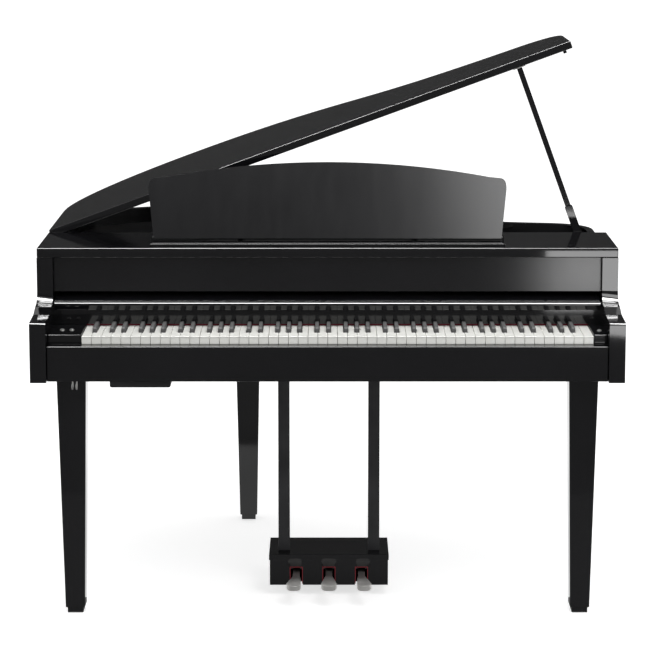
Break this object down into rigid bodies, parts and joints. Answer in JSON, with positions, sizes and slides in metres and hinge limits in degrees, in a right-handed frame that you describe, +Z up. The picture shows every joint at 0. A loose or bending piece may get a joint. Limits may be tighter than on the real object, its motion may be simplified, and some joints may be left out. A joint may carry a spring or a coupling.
{
  "type": "digital grand piano",
  "caption": "Compact black digital grand piano with propped lid, full keyboard, folding music rest, sliding key cover, tapered legs and pedals.",
  "frame": {"origin": "on the floor, at the middle of the bounding box's width and depth, lid open", "axes": "+X to the player's right, -Y towards the player, +Z up"},
  "size_m": [1.43, 1.146, 1.389],
  "materials": {
    "polished_ebony": "black polyester lacquer, mirror polished",
    "painted_board": "black paint, matte",
    "inner_panel": "dark grey paint, matte",
    "satin_panel": "black lacquer, satin",
    "red_felt": "dense wool felt",
    "key_white": "off-white acrylic, smooth",
    "key_black": "black, satin",
    "plated_steel": "bright zinc plate",
    "polished_nickel": "nickel plate, polished",
    "dark_metal_post": "dark grey paint, matte",
    "black_plastic": "fine grain",
    "black_rubber": "matte"
  },
  "bodies": {
    "case": {"case_rim": "polished_ebony", "left_arm": "polished_ebony", "right_arm": "polished_ebony", "key_slip": "polished_ebony", "top_board": "polished_ebony", "nameboard_rail": "polished_ebony", "left_cheek_block": "polished_ebony", "right_cheek_block": "polished_ebony", "music_rest_ledge": "polished_ebony", "front_left_leg": "polished_ebony", "front_right_leg": "polished_ebony", "rear_leg": "polished_ebony", "pedal_box": "polished_ebony", "pedal_box_cover": "polished_ebony", "bottom_board": "painted_board", "keybed": "painted_board", "belly_rail": "painted_board", "key_frame": "painted_board", "soundboard": "inner_panel", "name_panel": "satin_panel", "felt_strip": "red_felt", "keyboard": "key_white", "left_cover_runner": "plated_steel", "right_cover_runner": "plated_steel", "front_lid_hinge": "plated_steel", "rear_lid_hinge": "plated_steel", "prop_bracket": "plated_steel", "pedal_axle": "plated_steel", "headphone_hanger": "plated_steel", "left_lyre_post": "dark_metal_post", "right_lyre_post": "dark_metal_post", "left_speaker": "black_plastic", "right_speaker": "black_plastic", "pedal_adjuster": "black_plastic", "jack_box": "black_plastic", "rim_stud": "black_rubber"},
    "lid": {"lid": "polished_ebony", "front_lid_leaf": "plated_steel", "rear_lid_leaf": "plated_steel", "lid_bumper": "black_rubber", "prop_cup": "plated_steel"},
    "long_prop": {"long_prop": "polished_ebony"},
    "short_prop": {"short_prop": "polished_ebony"},
    "music_rest": {"music_rest_panel": "polished_ebony"},
    "left_music_stay": {"left_music_stay": "plated_steel"},
    "right_music_stay": {"right_music_stay": "plated_steel"},
    "key_cover": {"key_cover": "polished_ebony", "key_cover_nosing": "polished_ebony"},
    "first_button": {"first_button": "plated_steel"},
    "second_button": {"second_button": "plated_steel"},
    "power_button": {"power_button": "plated_steel"},
    "left_pedal": {"left_pedal": "polished_nickel"},
    "centre_pedal": {"centre_pedal": "polished_nickel"},
    "right_pedal": {"right_pedal": "polished_nickel"},
    "key_c": {"key_c": "key_white"},
    "key_c_sharp": {"key_c_sharp": "key_black"},
    "key_d": {"key_d": "key_white"},
    "key_d_sharp": {"key_d_sharp": "key_black"},
    "key_e": {"key_e": "key_white"}
  },
  "joints": [
    {"name": "lid_hinge", "type": "hinge", "parent": "case", "child": "lid", "pos_m": [-0.7105, 0.027, 0.8835], "axis": [0, -1, 0], "range_deg": [0, 15]},
    {"name": "long_prop_fold", "type": "hinge", "parent": "case", "child": "long_prop", "pos_m": [0.65548, -0.098, 0.862], "axis": [0, -1, 0], "range_deg": [0, 70]},
    {"name": "short_prop_fold", "type": "hinge", "parent": "case", "child": "short_prop", "pos_m": [0.65548, -0.098, 0.862], "axis": [0, -1, 0], "range_deg": [0, 70]},
    {"name": "music_rest_fold", "type": "hinge", "parent": "case", "child": "music_rest", "pos_m": [0, -0.303, 0.914], "axis": [1, 0, 0], "range_deg": [-67.2, 0]},
    {"name": "left_stay_fold", "type": "hinge", "parent": "music_rest", "child": "left_music_stay", "pos_m": [-0.22, -0.2656, 0.97965], "axis": [1, 0, 0], "range_deg": [0, 121]},
    {"name": "right_stay_fold", "type": "hinge", "parent": "music_rest", "child": "right_music_stay", "pos_m": [0.22, -0.2656, 0.97965], "axis": [1, 0, 0], "range_deg": [0, 121]},
    {"name": "key_cover_slide", "type": "slide", "parent": "case", "child": "key_cover", "axis": [0, -0.9613, -0.2756], "range_m": [0, 0.145]},
    {"name": "first_button_press", "type": "slide", "parent": "case", "child": "first_button", "axis": [0, 0, -1], "range_m": [0, 0.001], "stiffness_N_per_m": 200, "springref_m": -0.002},
    {"name": "second_button_press", "type": "slide", "parent": "case", "child": "second_button", "axis": [0, 0, -1], "range_m": [0, 0.001], "stiffness_N_per_m": 200, "springref_m": -0.002},
    {"name": "power_button_press", "type": "slide", "parent": "case", "child": "power_button", "axis": [0, 0, -1], "range_m": [0, 0.001], "stiffness_N_per_m": 200, "springref_m": -0.002},
    {"name": "left_pedal_press", "type": "hinge", "parent": "case", "child": "left_pedal", "pos_m": [-0.079, -0.273, 0.055], "axis": [1, 0, 0], "range_deg": [0, 8], "stiffness_Nm_per_rad": 5, "springref_deg": -17.19},
    {"name": "centre_pedal_press", "type": "hinge", "parent": "case", "child": "centre_pedal", "pos_m": [0.0035, -0.273, 0.055], "axis": [1, 0, 0], "range_deg": [0, 8], "stiffness_Nm_per_rad": 5, "springref_deg": -17.19},
    {"name": "right_pedal_press", "type": "hinge", "parent": "case", "child": "right_pedal", "pos_m": [0.086, -0.273, 0.055], "axis": [1, 0, 0], "range_deg": [0, 8], "stiffness_Nm_per_rad": 5, "springref_deg": -17.19},
    {"name": "key_c_press", "type": "hinge", "parent": "case", "child": "key_c", "pos_m": [0, -0.266, 0.686], "axis": [1, 0, 0], "range_deg": [0, 2.2], "stiffness_Nm_per_rad": 2, "springref_deg": -11.46},
    {"name": "key_c_sharp_press", "type": "hinge", "parent": "case", "child": "key_c_sharp", "pos_m": [0, -0.266, 0.686], "axis": [1, 0, 0], "range_deg": [0, 2.2], "stiffness_Nm_per_rad": 2, "springref_deg": -11.46},
    {"name": "key_d_press", "type": "hinge", "parent": "case", "child": "key_d", "pos_m": [0, -0.266, 0.686], "axis": [1, 0, 0], "range_deg": [0, 2.2], "stiffness_Nm_per_rad": 2, "springref_deg": -11.46},
    {"name": "key_d_sharp_press", "type": "hinge", "parent": "case", "child": "key_d_sharp", "pos_m": [0, -0.266, 0.686], "axis": [1, 0, 0], "range_deg": [0, 2.2], "stiffness_Nm_per_rad": 2, "springref_deg": -11.46},
    {"name": "key_e_press", "type": "hinge", "parent": "case", "child": "key_e", "pos_m": [0, -0.266, 0.686], "axis": [1, 0, 0], "range_deg": [0, 2.2], "stiffness_Nm_per_rad": 2, "springref_deg": -11.46}
  ],
  "couplings": [
    {"joint": "left_stay_fold", "follows": "music_rest_fold", "ratio": -1.7988},
    {"joint": "right_stay_fold", "follows": "music_rest_fold", "ratio": -1.7988}
  ]
}
